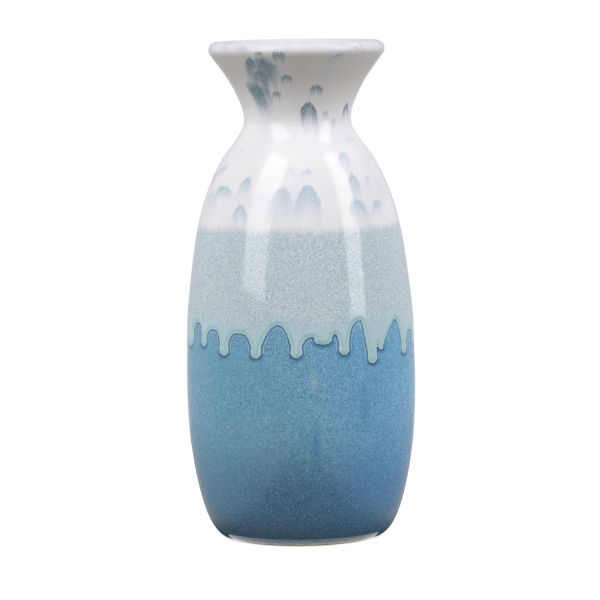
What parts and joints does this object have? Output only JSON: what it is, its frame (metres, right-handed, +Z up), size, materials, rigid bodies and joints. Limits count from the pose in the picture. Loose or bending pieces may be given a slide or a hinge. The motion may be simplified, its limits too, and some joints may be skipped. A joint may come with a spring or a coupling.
{
  "type": "ceramic bud vase",
  "caption": "Tall barrel-bodied bud vase with a narrow neck and flared rolled lip, its pale glaze running in drips over deep blue.",
  "frame": {"origin": "centre of the foot ring, on the plane of the table that the vase stands on", "axes": "+Z is up, along the axis of the thrown form; -Y is the front, the side with the long drip to the right of centre"},
  "size_m": [0.1016, 0.1017, 0.22],
  "materials": {
    "stoneware": "bare fired clay, fine-grained and matte",
    "blue_glaze": "deep blue gloss glaze with a fine pale grain, darker towards the foot",
    "pale_glaze": "pale grey-blue gloss glaze with fine vertical streaks, turning turquoise in the drips",
    "white_glaze": "white gloss glaze with blue-grey flecks that fade downwards",
    "liner_glaze": "plain white gloss liner"
  },
  "bodies": {
    "root": {"clay_body": "stoneware", "blue_glaze": "blue_glaze", "pale_drip_glaze": "pale_glaze", "white_lip_glaze": "white_glaze", "liner_glaze": "liner_glaze"}
  },
  "joints": []
}
